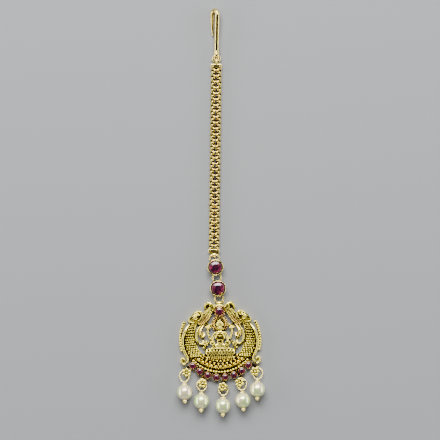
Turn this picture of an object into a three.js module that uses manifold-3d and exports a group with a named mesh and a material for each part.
// Maang tikka, a forehead jewel: hook, double box chain, two stone bezels, pierced round pendant, five pearl drops.
// Millimetres, lying on its back on a surface: +X right, +Y towards the hook, +Z up.
import * as THREE from "three";
import { mergeVertices } from "three/addons/utils/BufferGeometryUtils.js";
import Module from "manifold-3d";

const wasm = await Module();
wasm.setup();
const { Manifold, Mesh } = wasm;

// Pendant plate
const pendantRadius = 15.25;
const pendantTurn = 1.2;
const sheetThickness = 1.0;
const rimWire = 0.42;
const edgeHeight = 1.1;
const bodyHeight = 1.9;
const scaleSize = 0.6;
const scaleRows = 6;
const scaleColumns = 3;
const shellHeight = 2.1;
const shellRimWire = 0.4;
const neckHeight = 2.2;
const scrollWire = 0.42;
const scrollHeight = 1.7;
const haloHeight = 1.5;
const haloTeeth = 12;
const headRadius = 1.05;
const headHeight = 2.2;
const bodyReliefHeight = 2.0;
const openingWidth = 1.2;
const openingLength = 0.8;
const smallBallSize = 0.6;
const lotusSize = 0.75;
const handSize = 0.8;
const shellBossSize = 1.3;
const throneHeight = 2.4;
const throneSlant = 0.7;
const petalCount = 7;
const budSize = 0.8;
const budCount = 7;
const beadedWire = 0.36;
const cornerSpiralRadius = 1.05;

// Stones of the pendant
const rowStoneDiameter = 2.15;
const rowStoneHeight = 1.25;
const rowStoneCount = 8;
const rowStonePitchDegrees = 13.3;
const rowColletWall = 0.28;
const rowColletHeight = 2.0;
const centreStoneDiameter = 2.7;
const centreStoneHeight = 1.5;
const centreColletWall = 0.45;
const centreColletHeight = 2.7;
const clawCount = 6;
const clawSize = 0.34;
const stoneClearance = 0.06;

// Flowers and eyelets on the lower rim
const flowerBeyondRim = 2.05;
const flowerPetals = 6;
const flowerRadius = 1.75;
const flowerCentreRadius = 0.5;
const flowerLift = 2.05;
const flowerThickness = 0.65;
const eyeletWidth = 0.9;
const eyeletWall = 0.36;
const eyeletClearance = 0.26;
const eyeletNeck = 0.42;

// Pearl drops
const dropRingWidth = 4.1;
const dropRingLength = 4.8;
const dropRingWire = 0.45;
const pearlDiameter = 5.8;
const pearlBoreClearance = 0.12;
const pinWire = 0.6;
const pinLoopWire = 0.32;
const pinLoopClearance = 0.13;
const capRadius = 0.85;
const capHeight = 0.15;
const capClearance = 0.06;
const crimpDiameter = 1.85;
const crimpLength = 1.2;

// Bezels and jump rings
const bezelDiameter = 6.0;
const bezelHeight = 3.0;
const bezelBaseRadius = 1.75;
const bezelFlareStart = 1.5;
const bezelFlareEnd = 2.0;
const bezelRimWall = 0.55;
const bezelSeatDepth = 0.8;
const bezelStoneHeight = 1.9;
const bezelEyeReach = 2.38;
const linkHeight = 1.0;
const jumpRingDiameter = 3.75;
const jumpRingWire = 0.65;
const upperRingWidth = 4.0;
const upperRingLength = 2.85;
const linkEyeWidth = 0.9;
const linkEyeWall = 0.42;
const linkEyeClearance = 0.12;

// Chain
const chainLength = 68.2;
const linkPitch = 1.085;
const linkWall = 0.3;
const linkSquare = 1.75;
const linkBand = 1.0;
const bearingGap = 0.02;
const solderRadius = 0.24;
const solderLength = 0.26;
const strandSpacing = 2.1;
const yokeLength = 0.9;
const yokeThickness = 1.5;
const bailWire = 0.6;
const bailInside = 1.5;

// Hook
const hookWire = 1.6;
const hookShank = 14.8;
const hookLeg = 7.7;
const hookBendRadius = 1.43;
const hookEyeWire = 0.9;
const hookEyeDiameter = 3.3;
const hookEyeHeight = 1.4;

// Headings of the pieces above the pendant, in degrees to the left of +Y
const headings = {
  lowerRing: 4.5,
  lowerBezel: 5.5,
  middleRing: 7.5,
  upperBezel: 7.5,
  upperRing: 6.5,
  chain: -0.7,
};

// Outlines and paths of the left half of the pendant, as shares of its radius, x and y from its centre
const crescent = {
  outer: [-0.77, 0.42, -0.88, 0.2, -0.905, 0, -0.88, -0.22, -0.8, -0.42, -0.7, -0.56],
  inner: [-0.42, -0.36, -0.5, -0.22, -0.585, -0.06, -0.6, 0.12, -0.55, 0.28, -0.46, 0.42, -0.58, 0.45],
};
const shellOutline = [-0.77, 0.44, -0.75, 0.49, -0.55, 0.7, -0.45, 0.7, -0.41, 0.6, -0.46, 0.49, -0.58, 0.42];
const shellRim = [-0.75, 0.46, -0.62, 0.43, -0.5, 0.48, -0.43, 0.58, -0.46, 0.67, -0.53, 0.7];
const shellBoss = [-0.6, 0.57];
const neckOutline = [
  -0.43, 0.4, -0.43, 0.6, -0.3, 0.72, -0.22, 0.86,
  -0.14, 0.88, -0.12, 0.7, -0.24, 0.44, -0.32, 0.38,
];
const headPath = [-0.18, 0.72, -0.17, 0.84, -0.23, 0.9, -0.31, 0.88, -0.34, 0.8, -0.31, 0.74];
const outerScroll = [
  -0.3, 0.5, -0.41, 0.38, -0.52, 0.22, -0.57, 0.07,
  -0.53, -0.04, -0.45, -0.08, -0.36, -0.08,
];
const innerScroll = [
  -0.33, 0.42, -0.43, 0.29, -0.48, 0.16, -0.45, 0.08,
  -0.39, 0.08, -0.37, 0.13, -0.41, 0.15,
];
const leafStar = { centre: [-0.35, -0.08], reach: 0.085, points: 6 };
const leafBridge = [-0.42, -0.02, -0.46, -0.1, -0.42, -0.42, -0.32, -0.4, -0.33, -0.1];
const lotusStem = [-0.27, 0.36, -0.29, 0.26, -0.28, 0.12, -0.23, 0.04, -0.17, 0.0];
const lotusHead = [-0.28, 0.3];
const arm = [-0.09, 0.23, -0.16, 0.12, -0.18, 0.0, -0.18, -0.08];
const lowerHand = [-0.18, -0.06];
const smallBalls = [
  [-0.4, -0.185],
  [-0.4, -0.365],
  [-0.845, 0.44],
];
const openings = { radius: 0.55, count: 5, pitchDegrees: 15.5 };
const plate = { inside: 0.47, smoothRim: 0.915, spread: 62, rimFrom: -116, rimTo: -56, edgeFrom: -118, edgeTo: -74 };
const scaleField = { from: -116, to: -54, inside: 0.64, step: 0.06 };
const haloCentre = [0, 0.41];
const haloRadius = 0.205;
const crownBase = [0, 0.4];
const crownReach = 0.13;
const headCentre = [0, 0.31];
const torso = [
  { y: 0.19, halfWidth: 0.095, halfLength: 0.1, rise: 0.95 },
  { y: 0.06, halfWidth: 0.13, halfLength: 0.07, rise: 1 },
  { y: -0.07, halfWidth: 0.13, halfLength: 0.1, rise: 1 },
  { y: -0.17, halfWidth: 0.19, halfLength: 0.065, rise: 1.15 },
];
const cushion = { y: -0.205, halfWidth: 0.27, halfLength: 0.03 };
const throne = { top: -0.215, bottom: -0.48, topHalfWidth: 0.35, bottomHalfWidth: 0.26 };
const budBand = { centre: 0.14, radius: 0.78, spread: 43 };
const beadedLine = { centre: 0.105, radius: 0.885, spread: 51 };
const stoneRow = { centre: 0.017, radius: 0.93, turn: -0.2 };
const cornerSpiral = [-0.865, -0.5];
const centreStonePlace = [0, 0.69];
const archRadius = 0.15;
const topEyeReach = 0.885;

// Drops from left to right: angle of the flower from straight down, place of the eyelet from it, lean of the drop
const drops = [
  { angle: -47, side: -0.85, up: 0.6, lean: 0.1 },
  { angle: -23.3, side: -0.2, up: 1.25, lean: -2.6 },
  { angle: 2, side: 0.3, up: 0.85, lean: -2.5 },
  { angle: 23.5, side: 0.7, up: 1.25, lean: 2.2 },
  { angle: 46.6, side: 1.1, up: 1.15, lean: -2.3 },
];

// Finishes
const gold = new THREE.MeshStandardMaterial({ color: 0xd9b45a, roughness: 0.22, metalness: 1 });
const antiqueGold = new THREE.MeshStandardMaterial({ color: 0xc9a253, roughness: 0.38, metalness: 1 });
const ruby = new THREE.MeshStandardMaterial({ color: 0x7a1236, roughness: 0.08, metalness: 0 });
const nacre = new THREE.MeshStandardMaterial({ color: 0xf1ecdf, roughness: 0.28, metalness: 0 });

const radians = THREE.MathUtils.degToRad;

// A closed geometry as a solid that can be joined and cut
function solid(geometry) {
  const bare = geometry.clone();
  bare.deleteAttribute("normal");
  bare.deleteAttribute("uv");
  const merged = mergeVertices(bare, 1e-4);
  return new Manifold(
    new Mesh({
      numProp: 3,
      vertProperties: merged.attributes.position.array,
      triVerts: new Uint32Array(merged.index.array),
    }),
  );
}

function join(pieces) {
  return Manifold.union(pieces);
}

function geometryOf(body) {
  const made = body.getMesh();
  const geometry = new THREE.BufferGeometry();
  geometry.setAttribute("position", new THREE.BufferAttribute(made.vertProperties.slice(), 3));
  geometry.setIndex(new THREE.BufferAttribute(made.triVerts.slice(), 1));
  return geometry;
}

// The same solid in another place
function moved(body, x, y, z) {
  return solid(geometryOf(body).translate(x, y, z));
}

function addMesh(parent, name, body, material) {
  const geometry = geometryOf(body);
  geometry.computeVertexNormals();
  const mesh = new THREE.Mesh(geometry, material);
  mesh.name = name;
  parent.add(mesh);
  return mesh;
}

// Shapes that many pieces share
function box(sizeX, sizeY, sizeZ, x, y, bottom) {
  return solid(new THREE.BoxGeometry(sizeX, sizeY, sizeZ).translate(x, y, bottom + sizeZ / 2));
}

function post(radius, bottom, top, x, y, sides) {
  const geometry = new THREE.CylinderGeometry(radius, radius, top - bottom, sides);
  return solid(geometry.rotateX(Math.PI / 2).translate(x, y, (bottom + top) / 2));
}

function dome(halfX, halfY, top, x, y, sides = 6) {
  const profile = [
    new THREE.Vector2(0, 0),
    new THREE.Vector2(1, 0),
    new THREE.Vector2(0.82, top * 0.7),
    new THREE.Vector2(0, top),
  ];
  const geometry = new THREE.LatheGeometry(profile, sides).rotateX(Math.PI / 2);
  return solid(geometry.scale(halfX, halfY, 1).translate(x, y, 0));
}

function nugget(radius, x, y, z, squash = 0.75) {
  return solid(new THREE.IcosahedronGeometry(radius, 0).scale(1, 1, squash).translate(x, y, z));
}

function outlineShape(numbers, scale = pendantRadius) {
  const shape = new THREE.Shape();
  for (let i = 0; i < numbers.length; i += 2) {
    const corner = [numbers[i] * scale, numbers[i + 1] * scale];
    if (i === 0) shape.moveTo(...corner);
    else shape.lineTo(...corner);
  }
  shape.closePath();
  return shape;
}

function slab(shape, bottom, top) {
  const geometry = new THREE.ExtrudeGeometry(shape, { depth: top - bottom, bevelEnabled: false });
  return solid(geometry.translate(0, 0, bottom));
}

function roundSection(radius, sides) {
  const shape = new THREE.Shape();
  for (let i = 0; i < sides; i += 1) {
    const angle = ((i + 0.5) * 2 * Math.PI) / sides;
    const corner = [radius * Math.cos(angle), radius * Math.sin(angle)];
    if (i === 0) shape.moveTo(...corner);
    else shape.lineTo(...corner);
  }
  shape.closePath();
  return shape;
}

function wire(curve, radius, sides, steps) {
  return solid(
    new THREE.ExtrudeGeometry(roundSection(radius, sides), { steps, extrudePath: curve, bevelEnabled: false }),
  );
}

// A band that follows a path, with upright walls
function ribbon(numbers, halfWidth, bottom, top, steps = 7) {
  const points = [];
  for (let i = 0; i < numbers.length; i += 2) {
    points.push(new THREE.Vector3(numbers[i] * pendantRadius, numbers[i + 1] * pendantRadius, 0));
  }
  const curve = new THREE.CatmullRomCurve3(points);
  const leftSide = [];
  const rightSide = [];
  for (let i = 0; i <= steps; i += 1) {
    const place = curve.getPointAt(i / steps);
    const along = curve.getTangentAt(i / steps);
    leftSide.push([place.x - along.y * halfWidth, place.y + along.x * halfWidth]);
    rightSide.push([place.x + along.y * halfWidth, place.y - along.x * halfWidth]);
  }
  return slab(outlineShape([...leftSide, ...rightSide.reverse()].flat(), 1), bottom, top);
}

function onCircle(radius, degrees, centreY = 0) {
  return [radius * Math.sin(radians(degrees)), centreY - radius * Math.cos(radians(degrees))];
}

// A band between two radii around a centre on the pendant's axis, from one angle to another
function arcBand(inside, outside, from, to, bottom, top, centreY = 0, steps = 16) {
  const shape = new THREE.Shape();
  for (let i = 0; i <= steps; i += 1) {
    const corner = onCircle(outside, from + ((to - from) * i) / steps, centreY);
    if (i === 0) shape.moveTo(...corner);
    else shape.lineTo(...corner);
  }
  for (let i = steps; i >= 0; i -= 1) {
    shape.lineTo(...onCircle(inside, from + ((to - from) * i) / steps, centreY));
  }
  shape.closePath();
  return slab(shape, bottom, top);
}

// A round ring lying in the XY plane, made longer or wider by straight stretches
function ringLink(width, length, thickness, sides, segments) {
  const across = Math.min(width, length);
  const geometry = new THREE.TorusGeometry((across - thickness) / 2, thickness / 2, sides, segments);
  const place = geometry.attributes.position;
  for (let i = 0; i < place.count; i += 1) {
    const x = place.getX(i);
    const y = place.getY(i);
    const sideX = Math.abs(x) < 1e-6 ? 0 : Math.sign(x);
    const sideY = Math.abs(y) < 1e-6 ? 0 : Math.sign(y);
    place.setXY(i, x + (sideX * (width - across)) / 2, y + (sideY * (length - across)) / 2);
  }
  return geometry;
}

// A short tube with its hole along X, centred on the hole
function eyeTube(inside, wall, width) {
  const shape = roundSection(inside + wall, 8);
  shape.holes.push(new THREE.Path(roundSection(inside, 8).getPoints().reverse()));
  const geometry = new THREE.ExtrudeGeometry(shape, { depth: width, bevelEnabled: false });
  return geometry.translate(0, 0, -width / 2).rotateY(Math.PI / 2);
}

// A faceted stone with a table: girdle at the height where it is widest, culet cut flat
function cutStone(diameter, height, sides) {
  const radius = diameter / 2;
  const profile = [
    new THREE.Vector2(0, 0),
    new THREE.Vector2(radius * 0.45, 0),
    new THREE.Vector2(radius, height * 0.45),
    new THREE.Vector2(radius, height * 0.55),
    new THREE.Vector2(radius * 0.62, height),
    new THREE.Vector2(0, height),
  ];
  return new THREE.LatheGeometry(profile, sides).rotateX(Math.PI / 2);
}

// Left-hand form and its mirror image
function bothSides(left) {
  const image = geometryOf(left).scale(-1, 1, 1);
  const corners = image.index.array;
  for (let i = 0; i < corners.length; i += 3) {
    [corners[i], corners[i + 1]] = [corners[i + 1], corners[i]];
  }
  return [left, solid(image)];
}

// Collet with a pocket that the stone sits in
function collet(stoneDiameter, stoneHeight, wall, height, sides) {
  const outside = post(stoneDiameter / 2 + wall, 0, height, 0, 0, sides);
  const floor = height - stoneHeight * 0.6;
  const pocket = post(stoneDiameter / 2 + stoneClearance, floor, height + 1, 0, 0, sides);
  return outside.subtract(pocket);
}

function colletFloor(stoneHeight, height) {
  return height - stoneHeight * 0.6 + stoneClearance;
}

// Pendant sub-parts
function lowerSheet() {
  const inside = pendantRadius * plate.inside;
  const outside = pendantRadius * plate.smoothRim;
  let sheet = arcBand(inside, outside, -plate.spread, plate.spread, 0, sheetThickness);
  const opening = post(openingWidth / 2, -sheetThickness, 2 * sheetThickness, 0, 0, 8);
  const shaped = geometryOf(opening).scale(1, openingLength / openingWidth, 1);
  for (let i = 0; i < openings.count; i += 1) {
    const angle = (i - (openings.count - 1) / 2) * openings.pitchDegrees;
    const turned = shaped.clone().rotateZ(radians(angle));
    const [x, y] = onCircle(openings.radius * pendantRadius, angle);
    sheet = sheet.subtract(solid(turned.translate(x, y, 0)));
  }
  return [sheet];
}

function sideRims() {
  const smooth = pendantRadius * plate.smoothRim;
  const edge = arcBand(smooth, pendantRadius, plate.edgeFrom, plate.edgeTo, 0, edgeHeight, 0, 8);
  const rimTop = bodyHeight + rimWire;
  const rim = arcBand(smooth - rimWire, smooth + rimWire, plate.rimFrom, plate.rimTo, 0, rimTop, 0, 10);
  return [edge, rim].flatMap(bothSides);
}

function crescentBodies() {
  const body = slab(outlineShape([...crescent.outer, ...crescent.inner]), 0, bodyHeight);
  const scales = [];
  for (let row = 0; row < scaleRows; row += 1) {
    const angle = scaleField.from + ((scaleField.to - scaleField.from) * (row + 0.5)) / scaleRows;
    const stagger = (row % 2) / 2;
    for (let column = 0; column < scaleColumns; column += 1) {
      const share = scaleField.inside + scaleField.step * (column + stagger);
      const [x, y] = onCircle(pendantRadius * share, angle);
      const cone = new THREE.ConeGeometry(scaleSize, scaleSize, 4).rotateX(Math.PI / 2);
      scales.push(solid(cone.rotateZ(radians(angle)).translate(x, y, bodyHeight + scaleSize * 0.3)));
    }
  }
  return [body, ...scales].flatMap(bothSides);
}

function crestShells() {
  const back = slab(outlineShape(shellOutline), 0, shellHeight - shellRimWire);
  const rim = ribbon(shellRim, shellRimWire, 0, shellHeight, 6);
  const [x, y] = shellBoss.map((share) => share * pendantRadius);
  return [back, rim, dome(shellBossSize, shellBossSize * 0.77, shellHeight * 1.1, x, y)].flatMap(bothSides);
}

function peacockHeads() {
  const neck = slab(outlineShape(neckOutline), 0, neckHeight);
  const head = ribbon(headPath, scrollWire * 1.35, 0, neckHeight + scrollWire, 7);
  return [neck, head].flatMap(bothSides);
}

function scrollWork() {
  const pieces = [];
  for (const path of [outerScroll, innerScroll, lotusStem, arm]) {
    pieces.push(ribbon(path, scrollWire, 0, scrollHeight));
  }
  return pieces.flatMap(bothSides);
}

function starShape(x, y, inside, outside, points) {
  const shape = new THREE.Shape();
  for (let i = 0; i < 2 * points; i += 1) {
    const reach = i % 2 ? inside : outside;
    const angle = (i * Math.PI) / points;
    const corner = [x + reach * Math.cos(angle), y + reach * Math.sin(angle)];
    if (i === 0) shape.moveTo(...corner);
    else shape.lineTo(...corner);
  }
  shape.closePath();
  return shape;
}

function leavesAndBalls() {
  const pieces = [];
  const [starX, starY] = leafStar.centre.map((share) => share * pendantRadius);
  const reach = leafStar.reach * pendantRadius;
  pieces.push(slab(starShape(starX, starY, reach * 0.5, reach * 1.3, leafStar.points), 0, scrollHeight));
  pieces.push(slab(outlineShape(leafBridge), 0, sheetThickness));
  for (const [shareX, shareY] of smallBalls) {
    pieces.push(dome(smallBallSize, smallBallSize, scrollHeight, shareX * pendantRadius, shareY * pendantRadius));
  }
  const [lotusX, lotusY] = lotusHead.map((share) => share * pendantRadius);
  pieces.push(dome(lotusSize, lotusSize * 1.27, scrollHeight * 1.24, lotusX, lotusY));
  const [handX, handY] = lowerHand.map((share) => share * pendantRadius);
  pieces.push(dome(handSize, handSize * 1.12, scrollHeight * 1.3, handX, handY));
  return pieces.flatMap(bothSides);
}

function seatedFigure() {
  const pieces = [];
  const [haloX, haloY] = haloCentre.map((share) => share * pendantRadius);
  const radius = haloRadius * pendantRadius;
  pieces.push(slab(starShape(haloX, haloY, radius * 0.86, radius, haloTeeth), 0, haloHeight));
  const crown = new THREE.ConeGeometry(headRadius * 0.95, crownReach * pendantRadius, 8);
  const crownY = crownBase[1] * pendantRadius + (crownReach * pendantRadius) / 2;
  pieces.push(solid(crown.translate(0, crownY, headHeight)));
  const head = new THREE.SphereGeometry(headRadius, 8, 6).scale(1, 1.2, 0.9);
  pieces.push(solid(head.translate(0, headCentre[1] * pendantRadius, headHeight)));
  pieces.push(post(headRadius * 0.9, 0, headHeight, 0, headCentre[1] * pendantRadius, 8));
  for (const part of torso) {
    const halfWidth = part.halfWidth * pendantRadius;
    const halfLength = part.halfLength * pendantRadius;
    pieces.push(dome(halfWidth, halfLength, part.rise * bodyReliefHeight, 0, part.y * pendantRadius));
  }
  const spine = 2 * torso[0].halfWidth * pendantRadius * 0.7;
  const spineTop = headCentre[1] * pendantRadius;
  const spineBottom = throne.top * pendantRadius;
  pieces.push(box(spine, spineTop - spineBottom, sheetThickness, 0, (spineTop + spineBottom) / 2, 0));
  return pieces;
}

function lotusThrone() {
  const { top, bottom, topHalfWidth, bottomHalfWidth } = throne;
  const outline = [-topHalfWidth, top, -bottomHalfWidth, bottom, bottomHalfWidth, bottom, topHalfWidth, top];
  const pieces = [slab(outlineShape(outline), 0, throneHeight - throneSlant)];
  const cushionShape = [
    -cushion.halfWidth, cushion.y - cushion.halfLength,
    cushion.halfWidth, cushion.y - cushion.halfLength,
    cushion.halfWidth, cushion.y + cushion.halfLength,
    -cushion.halfWidth, cushion.y + cushion.halfLength,
  ];
  pieces.push(slab(outlineShape(cushionShape), 0, throneHeight));
  const middle = ((top + bottom) / 2) * pendantRadius;
  const halfLength = ((top - bottom) / 2) * pendantRadius;
  for (let i = 0; i < petalCount; i += 1) {
    const share = (2 * i + 1) / petalCount - 1;
    const halfWidth = (topHalfWidth * pendantRadius) / petalCount;
    const petalX = share * topHalfWidth * pendantRadius * 0.93;
    pieces.push(dome(halfWidth * 1.05, halfLength * 0.98, throneHeight, petalX, middle));
  }
  return pieces;
}

function lowerBands() {
  const pieces = [];
  const { centre, radius, spread } = budBand;
  for (let i = 0; i < budCount; i += 1) {
    const angle = -spread + (2 * spread * (i + 0.5)) / budCount;
    const [x, y] = onCircle(radius * pendantRadius, angle, centre * pendantRadius);
    pieces.push(dome(budSize * 1.1, budSize, sheetThickness + budSize, x, y));
  }
  const line = arcBand(
    beadedLine.radius * pendantRadius - beadedWire, beadedLine.radius * pendantRadius + beadedWire,
    -beadedLine.spread, beadedLine.spread, 0, sheetThickness + 2 * beadedWire,
    beadedLine.centre * pendantRadius, 14,
  );
  return [line, ...pieces];
}

function cornerSpirals() {
  const [x, y] = cornerSpiral.map((share) => share * pendantRadius);
  const curl = post(cornerSpiralRadius, 0, sheetThickness * 1.4, x, y, 10);
  const hollow = post(cornerSpiralRadius - rimWire * 1.4, sheetThickness * 0.7, sheetThickness * 2, x, y, 8);
  const bridge = box(cornerSpiralRadius * 2.4, rimWire * 2, sheetThickness, x + cornerSpiralRadius, y - rimWire, 0);
  return [curl.subtract(hollow), bridge].flatMap(bothSides);
}

function rowPlace(index) {
  const angle = (index - (rowStoneCount - 1) / 2) * rowStonePitchDegrees + stoneRow.turn;
  return onCircle(stoneRow.radius * pendantRadius, angle, stoneRow.centre * pendantRadius);
}

const centrePlace = centreStonePlace.map((share) => share * pendantRadius);
const topEyeY = topEyeReach * pendantRadius;

function stoneCollets() {
  const pieces = [];
  const rowCollet = collet(rowStoneDiameter, rowStoneHeight, rowColletWall, rowColletHeight, 8);
  for (let i = 0; i < rowStoneCount; i += 1) pieces.push(moved(rowCollet, ...rowPlace(i), 0));
  const middle = collet(centreStoneDiameter, centreStoneHeight, centreColletWall, centreColletHeight, 10);
  pieces.push(moved(middle, ...centrePlace, 0));
  const clawCircle = centreStoneDiameter / 2 + centreColletWall;
  for (let i = 0; i < clawCount; i += 1) {
    const [x, y] = onCircle(clawCircle, (360 * (i + 0.5)) / clawCount, centrePlace[1]);
    pieces.push(post(clawSize, 0, centreColletHeight + 0.15, x, y, 4));
  }
  return pieces;
}

function topArch() {
  const outside = archRadius * pendantRadius;
  const arch = arcBand(outside - rimWire, outside + rimWire, 90, 270, 0, neckHeight, centrePlace[1], 8);
  const web = arcBand(centreStoneDiameter / 2, outside, 90, 270, 0, sheetThickness, centrePlace[1], 8);
  const eye = solid(eyeTube(jumpRingWire / 2 + linkEyeClearance, linkEyeWall, linkEyeWidth));
  return [arch, web, moved(eye, 0, topEyeY, linkHeight)];
}

// Place of a flower, its eyelet and the tilt of its drop
function dropPlan(drop) {
  const [flowerX, flowerY] = onCircle(pendantRadius + flowerBeyondRim, drop.angle);
  const eyeZ = dropRingWire / 2 + eyeletClearance + eyeletWall + 0.05;
  const eye = new THREE.Vector3(flowerX + drop.side, flowerY + drop.up, eyeZ);
  const reach = dropRingLength - dropRingWire + pinLoopReach + capHeight + pearlDiameter / 2;
  const tilt = Math.asin((pearlDiameter / 2 - eyeZ) / reach);
  return { flowerX, flowerY, eye, tilt, lean: radians(drop.lean) };
}

const pinLoopReach = dropRingWire / 2 + pinLoopClearance + pinLoopWire;

function petalShape(x, y) {
  return starShape(x, y, flowerRadius * 0.78, flowerRadius, flowerPetals);
}

function rimFlower(drop) {
  const { flowerX, flowerY, eye } = dropPlan(drop);
  const eyeInside = dropRingWire / 2 + eyeletClearance;
  const tube = eyeTube(eyeInside, eyeletWall, eyeletWidth).rotateZ(radians(drop.lean));
  const pieces = [solid(tube.translate(eye.x, eye.y, eye.z))];
  const reach = Math.hypot(eye.x, eye.y);
  const start = pendantRadius * 0.88;
  const neck = new THREE.BoxGeometry(eyeletWidth, reach - start, eyeletNeck);
  neck.translate(0, -(reach + start) / 2, eyeletNeck / 2);
  pieces.push(solid(neck.rotateZ(Math.atan2(eye.x, -eye.y))));
  const postBottom = eye.z + eyeInside + eyeletWall * 0.4;
  pieces.push(box(eyeletWidth, eyeletWidth, flowerLift + 0.1 - postBottom, eye.x, eye.y, postBottom));
  pieces.push(slab(petalShape(flowerX, flowerY), flowerLift, flowerLift + flowerThickness));
  pieces.push(nugget(flowerCentreRadius, flowerX, flowerY, flowerLift + flowerThickness));
  return pieces;
}

function pendantBody() {
  return join([
    ...lowerSheet(),
    ...sideRims(),
    ...crescentBodies(),
    ...crestShells(),
    ...peacockHeads(),
    ...scrollWork(),
    ...leavesAndBalls(),
    ...seatedFigure(),
    ...lotusThrone(),
    ...lowerBands(),
    ...cornerSpirals(),
    ...stoneCollets(),
    ...topArch(),
    ...drops.flatMap(rimFlower),
  ]);
}

// A bezel lies on its base with an eye at each end along Y
function bezelBody() {
  const rim = bezelDiameter / 2;
  const inside = rim - bezelRimWall;
  const floor = bezelHeight - bezelSeatDepth;
  const profile = [
    new THREE.Vector2(0, 0),
    new THREE.Vector2(bezelBaseRadius, 0),
    new THREE.Vector2(bezelBaseRadius, bezelFlareStart),
    new THREE.Vector2(rim, bezelFlareEnd),
    new THREE.Vector2(rim, bezelHeight - 0.15),
    new THREE.Vector2(rim - 0.15, bezelHeight),
    new THREE.Vector2(inside, bezelHeight),
    new THREE.Vector2(inside, floor),
    new THREE.Vector2(0, floor),
  ];
  const cup = solid(new THREE.LatheGeometry(profile, 12).rotateX(Math.PI / 2));
  const eye = solid(eyeTube(jumpRingWire / 2 + linkEyeClearance, linkEyeWall, linkEyeWidth));
  return join([
    cup,
    moved(eye, 0, bezelEyeReach, linkHeight),
    moved(eye, 0, -bezelEyeReach, linkHeight),
  ]);
}

// Box chain: links of square band turned a quarter each time, soldered lightly where they bear
function linkGeometry(pitch) {
  const half = linkSquare / 2;
  const inside = half - linkWall;
  const holeHalf = (pitch + bearingGap) / 2;
  const outsideHalf = holeHalf + linkWall;
  const shape = outlineShape([-half, -outsideHalf, half, -outsideHalf, half, outsideHalf, -half, outsideHalf], 1);
  const hole = outlineShape([-inside, -holeHalf, -inside, holeHalf, inside, holeHalf, inside, -holeHalf], 1);
  shape.holes.push(hole);
  const geometry = new THREE.ExtrudeGeometry(shape, { depth: linkBand, bevelEnabled: false });
  return geometry.translate(0, 0, -linkBand / 2);
}

const strandHeight = (linkSquare + linkBand) / (2 * Math.SQRT2);

function strand(side) {
  const count = Math.round(chainLength / linkPitch);
  const pitch = chainLength / count;
  const link = linkGeometry(pitch);
  const pieces = [];
  for (let i = 0; i < count; i += 1) {
    const rolled = link.clone().rotateY(Math.PI / 4 + (i % 2) * (Math.PI / 2));
    pieces.push(solid(rolled.translate((side * strandSpacing) / 2, (i + 0.5) * pitch, strandHeight)));
  }
  const solder = new THREE.CylinderGeometry(solderRadius, solderRadius, solderLength, 3);
  for (let i = 1; i < count; i += 1) {
    pieces.push(solid(solder.clone().translate((side * strandSpacing) / 2, i * pitch, strandHeight)));
  }
  return pieces;
}

function chainBody() {
  const pieces = [...strand(-1), ...strand(1)];
  const yokeWidth = strandSpacing + (linkSquare + linkBand) / Math.SQRT2;
  const yokeBottom = strandHeight - yokeThickness / 2;
  const bite = linkPitch * 0.6;
  const yoke = box(yokeWidth, yokeLength + bite, yokeThickness, 0, 0, yokeBottom);
  pieces.push(moved(yoke, 0, (bite - yokeLength) / 2, 0));
  pieces.push(moved(yoke, 0, chainLength + (yokeLength - bite) / 2, 0));
  const eye = solid(eyeTube(jumpRingWire / 2 + linkEyeClearance, linkEyeWall, linkEyeWidth));
  pieces.push(moved(eye, 0, -chainEyeReach, linkHeight));
  const bail = new THREE.TorusGeometry((bailInside + bailWire) / 2, bailWire / 2, 6, 12).rotateY(Math.PI / 2);
  pieces.push(solid(bail.translate(0, chainLength + bailReach, hookEyeHeight)));
  return join(pieces);
}

const chainEyeReach = yokeLength + jumpRingWire / 2 + linkEyeClearance + linkEyeWall * 0.4;
const bailReach = yokeLength + bailInside / 2;

// Hook, from its eye up the shank, round the bend and down the free leg
function hookBody() {
  const eyeRadius = (hookEyeDiameter - hookEyeWire) / 2;
  const eye = new THREE.TorusGeometry(eyeRadius, hookEyeWire / 2, 6, 10).translate(0, 0, hookEyeHeight);
  const diagonal = Math.SQRT1_2;
  const legZ = hookWire / 2;
  const shankZ = legZ + 2 * hookBendRadius * diagonal;
  const shankStart = eyeRadius + hookEyeWire * 0.3;
  const bendY = shankStart + hookShank;
  const points = [
    new THREE.Vector3(0, shankStart, hookEyeHeight),
    new THREE.Vector3(0.05, shankStart + hookShank * 0.4, hookEyeHeight + (shankZ - hookEyeHeight) * 0.45),
    new THREE.Vector3(0.12, bendY - 1, shankZ),
  ];
  const shank = new THREE.CatmullRomCurve3(points);
  const bend = [];
  for (let i = 0; i <= 8; i += 1) {
    const angle = (Math.PI * i) / 8;
    const back = hookBendRadius * (1 - Math.cos(angle)) * diagonal;
    const rise = hookBendRadius * Math.sin(angle);
    bend.push(new THREE.Vector3(0.12 - back, bendY + rise, shankZ - back));
  }
  const legX = 0.12 - 2 * hookBendRadius * diagonal;
  const route = new THREE.CatmullRomCurve3([
    ...shank.getPoints(6).slice(0, -1),
    ...bend,
    new THREE.Vector3(legX + 0.05, bendY - hookLeg * 0.5, legZ),
    new THREE.Vector3(legX + 0.2, bendY - hookLeg, legZ),
  ]);
  const collar = new THREE.CylinderGeometry(hookWire * 0.56, hookWire * 0.56, hookWire, 8);
  return join([
    solid(eye),
    wire(route, hookWire / 2, 8, 20),
    solid(collar.translate(0, shankStart + hookWire * 0.4, hookEyeHeight)),
  ]);
}

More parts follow.
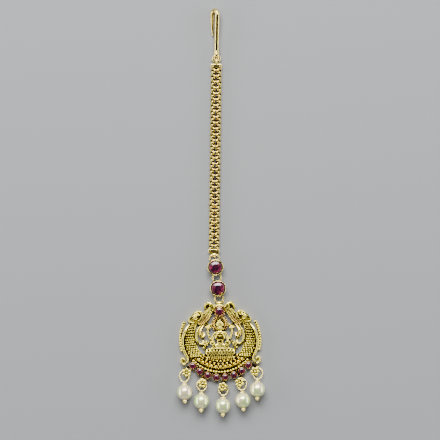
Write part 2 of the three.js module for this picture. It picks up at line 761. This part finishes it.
// Pearl drop, built along -Y from the centre of its eyelet
function pinBody() {
  const loopY = -(dropRingLength - dropRingWire);
  const loopRadius = dropRingWire / 2 + pinLoopClearance + pinLoopWire / 2;
  const loop = new THREE.TorusGeometry(loopRadius, pinLoopWire / 2, 5, 8).rotateY(Math.PI / 2);
  const capTop = loopY - pinLoopReach + pinLoopWire * 0.5;
  const pearlTop = loopY - pinLoopReach - capHeight;
  const boreRise = pearlBoreRise();
  const crimpTop = pearlTop - pearlDiameter + boreRise - capClearance;
  const crimpRadius = crimpDiameter / 2;
  const profile = [
    new THREE.Vector2(0, capTop),
    new THREE.Vector2(pinWire / 2, capTop),
    new THREE.Vector2(capRadius, pearlTop + capClearance),
    new THREE.Vector2(pinWire / 2, pearlTop + capClearance),
    new THREE.Vector2(pinWire / 2, crimpTop),
    new THREE.Vector2(crimpRadius * 0.75, crimpTop),
    new THREE.Vector2(crimpRadius, crimpTop - crimpLength * 0.5),
    new THREE.Vector2(crimpRadius * 0.6, crimpTop - crimpLength),
    new THREE.Vector2(0, crimpTop - crimpLength),
  ];
  const stem = new THREE.LatheGeometry(profile.reverse(), 6);
  return join([solid(loop.translate(0, loopY, 0)), solid(stem)]);
}

function pearlBoreRise() {
  const radius = pearlDiameter / 2;
  const bore = pinWire / 2 + pearlBoreClearance;
  return radius - Math.sqrt(radius * radius - bore * bore);
}

function pearlGeometry() {
  const radius = pearlDiameter / 2;
  const bore = pinWire / 2 + pearlBoreClearance;
  const centreY = -(dropRingLength - dropRingWire) - pinLoopReach - capHeight - radius;
  const start = Math.asin(bore / radius);
  const profile = [];
  const steps = 7;
  for (let i = 0; i <= steps; i += 1) {
    const angle = start + ((Math.PI - 2 * start) * i) / steps;
    profile.push(new THREE.Vector2(radius * Math.sin(angle), centreY - radius * Math.cos(angle)));
  }
  profile.push(profile[0].clone());
  return new THREE.LatheGeometry(profile, 12);
}

function addDrop(parent, drop, number) {
  const { eye, tilt, lean } = dropPlan(drop);
  const holder = new THREE.Group();
  holder.position.copy(eye);
  holder.rotation.set(-tilt, 0, lean, "ZXY");
  const ring = ringLink(dropRingWidth, dropRingLength, dropRingWire, 5, 10);
  ring.translate(0, -(dropRingLength - dropRingWire) / 2, 0);
  addMesh(holder, `drop_ring_${number}`, solid(ring), gold);
  addMesh(holder, `drop_pin_${number}`, pinBody(), gold);
  addMesh(holder, `pearl_${number}`, solid(pearlGeometry()), nacre);
  parent.add(holder);
}

// Assembly
function addStone(parent, name, [x, y], bottom, geometry) {
  const stone = addMesh(parent, name, solid(geometry), ruby);
  stone.position.set(x, y, bottom);
}

const tikka = new THREE.Group();
const roundel = new THREE.Group();
roundel.rotation.z = radians(pendantTurn);
tikka.add(roundel);
addMesh(roundel, "pendant", pendantBody(), antiqueGold);
const rowBottom = colletFloor(rowStoneHeight, rowColletHeight);
for (let i = 0; i < rowStoneCount; i += 1) {
  addStone(roundel, `row_ruby_${i + 1}`, rowPlace(i), rowBottom, cutStone(rowStoneDiameter, rowStoneHeight, 8));
}
const centreBottom = colletFloor(centreStoneHeight, centreColletHeight);
addStone(roundel, "centre_ruby", centrePlace, centreBottom, cutStone(centreStoneDiameter, centreStoneHeight, 8));
drops.forEach((drop, index) => addDrop(roundel, drop, index + 1));

// The pieces above the pendant follow each other from eye to eye
const origin = new THREE.Vector2();
const joint = new THREE.Vector2(0, topEyeY).rotateAround(origin, radians(pendantTurn));

function placeNext(degrees, reach) {
  const holder = new THREE.Group();
  const step = new THREE.Vector2(0, reach).rotateAround(origin, radians(degrees));
  holder.position.set(joint.x + step.x / 2, joint.y + step.y / 2, 0);
  holder.rotation.z = radians(degrees);
  joint.add(step);
  tikka.add(holder);
  return holder;
}

function addJumpRing(name, degrees, width, length) {
  const holder = placeNext(degrees, length - jumpRingWire);
  const ring = ringLink(width, length, jumpRingWire, 5, 12).translate(0, 0, linkHeight);
  addMesh(holder, name, solid(ring), gold);
}

function addBezel(name, degrees) {
  const holder = placeNext(degrees, 2 * bezelEyeReach);
  addMesh(holder, name, bezelBody(), gold);
  const inside = bezelDiameter - 2 * bezelRimWall - 2 * stoneClearance;
  const stone = cutStone(inside, bezelStoneHeight, 10);
  addStone(holder, `${name}_stone`, [0, 0], bezelHeight - bezelSeatDepth + stoneClearance, stone);
}

addJumpRing("lower_jump_ring", headings.lowerRing, jumpRingDiameter, jumpRingDiameter);
addBezel("lower_bezel", headings.lowerBezel);
addJumpRing("middle_jump_ring", headings.middleRing, jumpRingDiameter, jumpRingDiameter);
addBezel("upper_bezel", headings.upperBezel);
addJumpRing("upper_jump_ring", headings.upperRing, upperRingWidth, upperRingLength);

const chainTurn = radians(headings.chain);
const upward = new THREE.Vector2(0, 1).rotateAround(origin, chainTurn);
const chain = addMesh(tikka, "double_box_chain", chainBody(), gold);
chain.position.set(joint.x + upward.x * chainEyeReach, joint.y + upward.y * chainEyeReach, 0);
chain.rotation.z = chainTurn;

const hook = addMesh(tikka, "hook", hookBody(), gold);
const hookReach = chainEyeReach + chainLength + bailReach + (hookEyeDiameter - hookEyeWire) / 2;
hook.position.set(joint.x + upward.x * hookReach, joint.y + upward.y * hookReach, 0);
hook.rotation.z = chainTurn;

// The origin is at the middle of the outline, on the surface that the jewel lies on
tikka.updateMatrixWorld(true);
const bounds = new THREE.Box3().setFromObject(tikka, true);
const middle = bounds.getCenter(new THREE.Vector3());
tikka.position.set(-middle.x, -middle.y, -bounds.min.z);

const part = new THREE.Group();
part.add(tikka);
export default part;
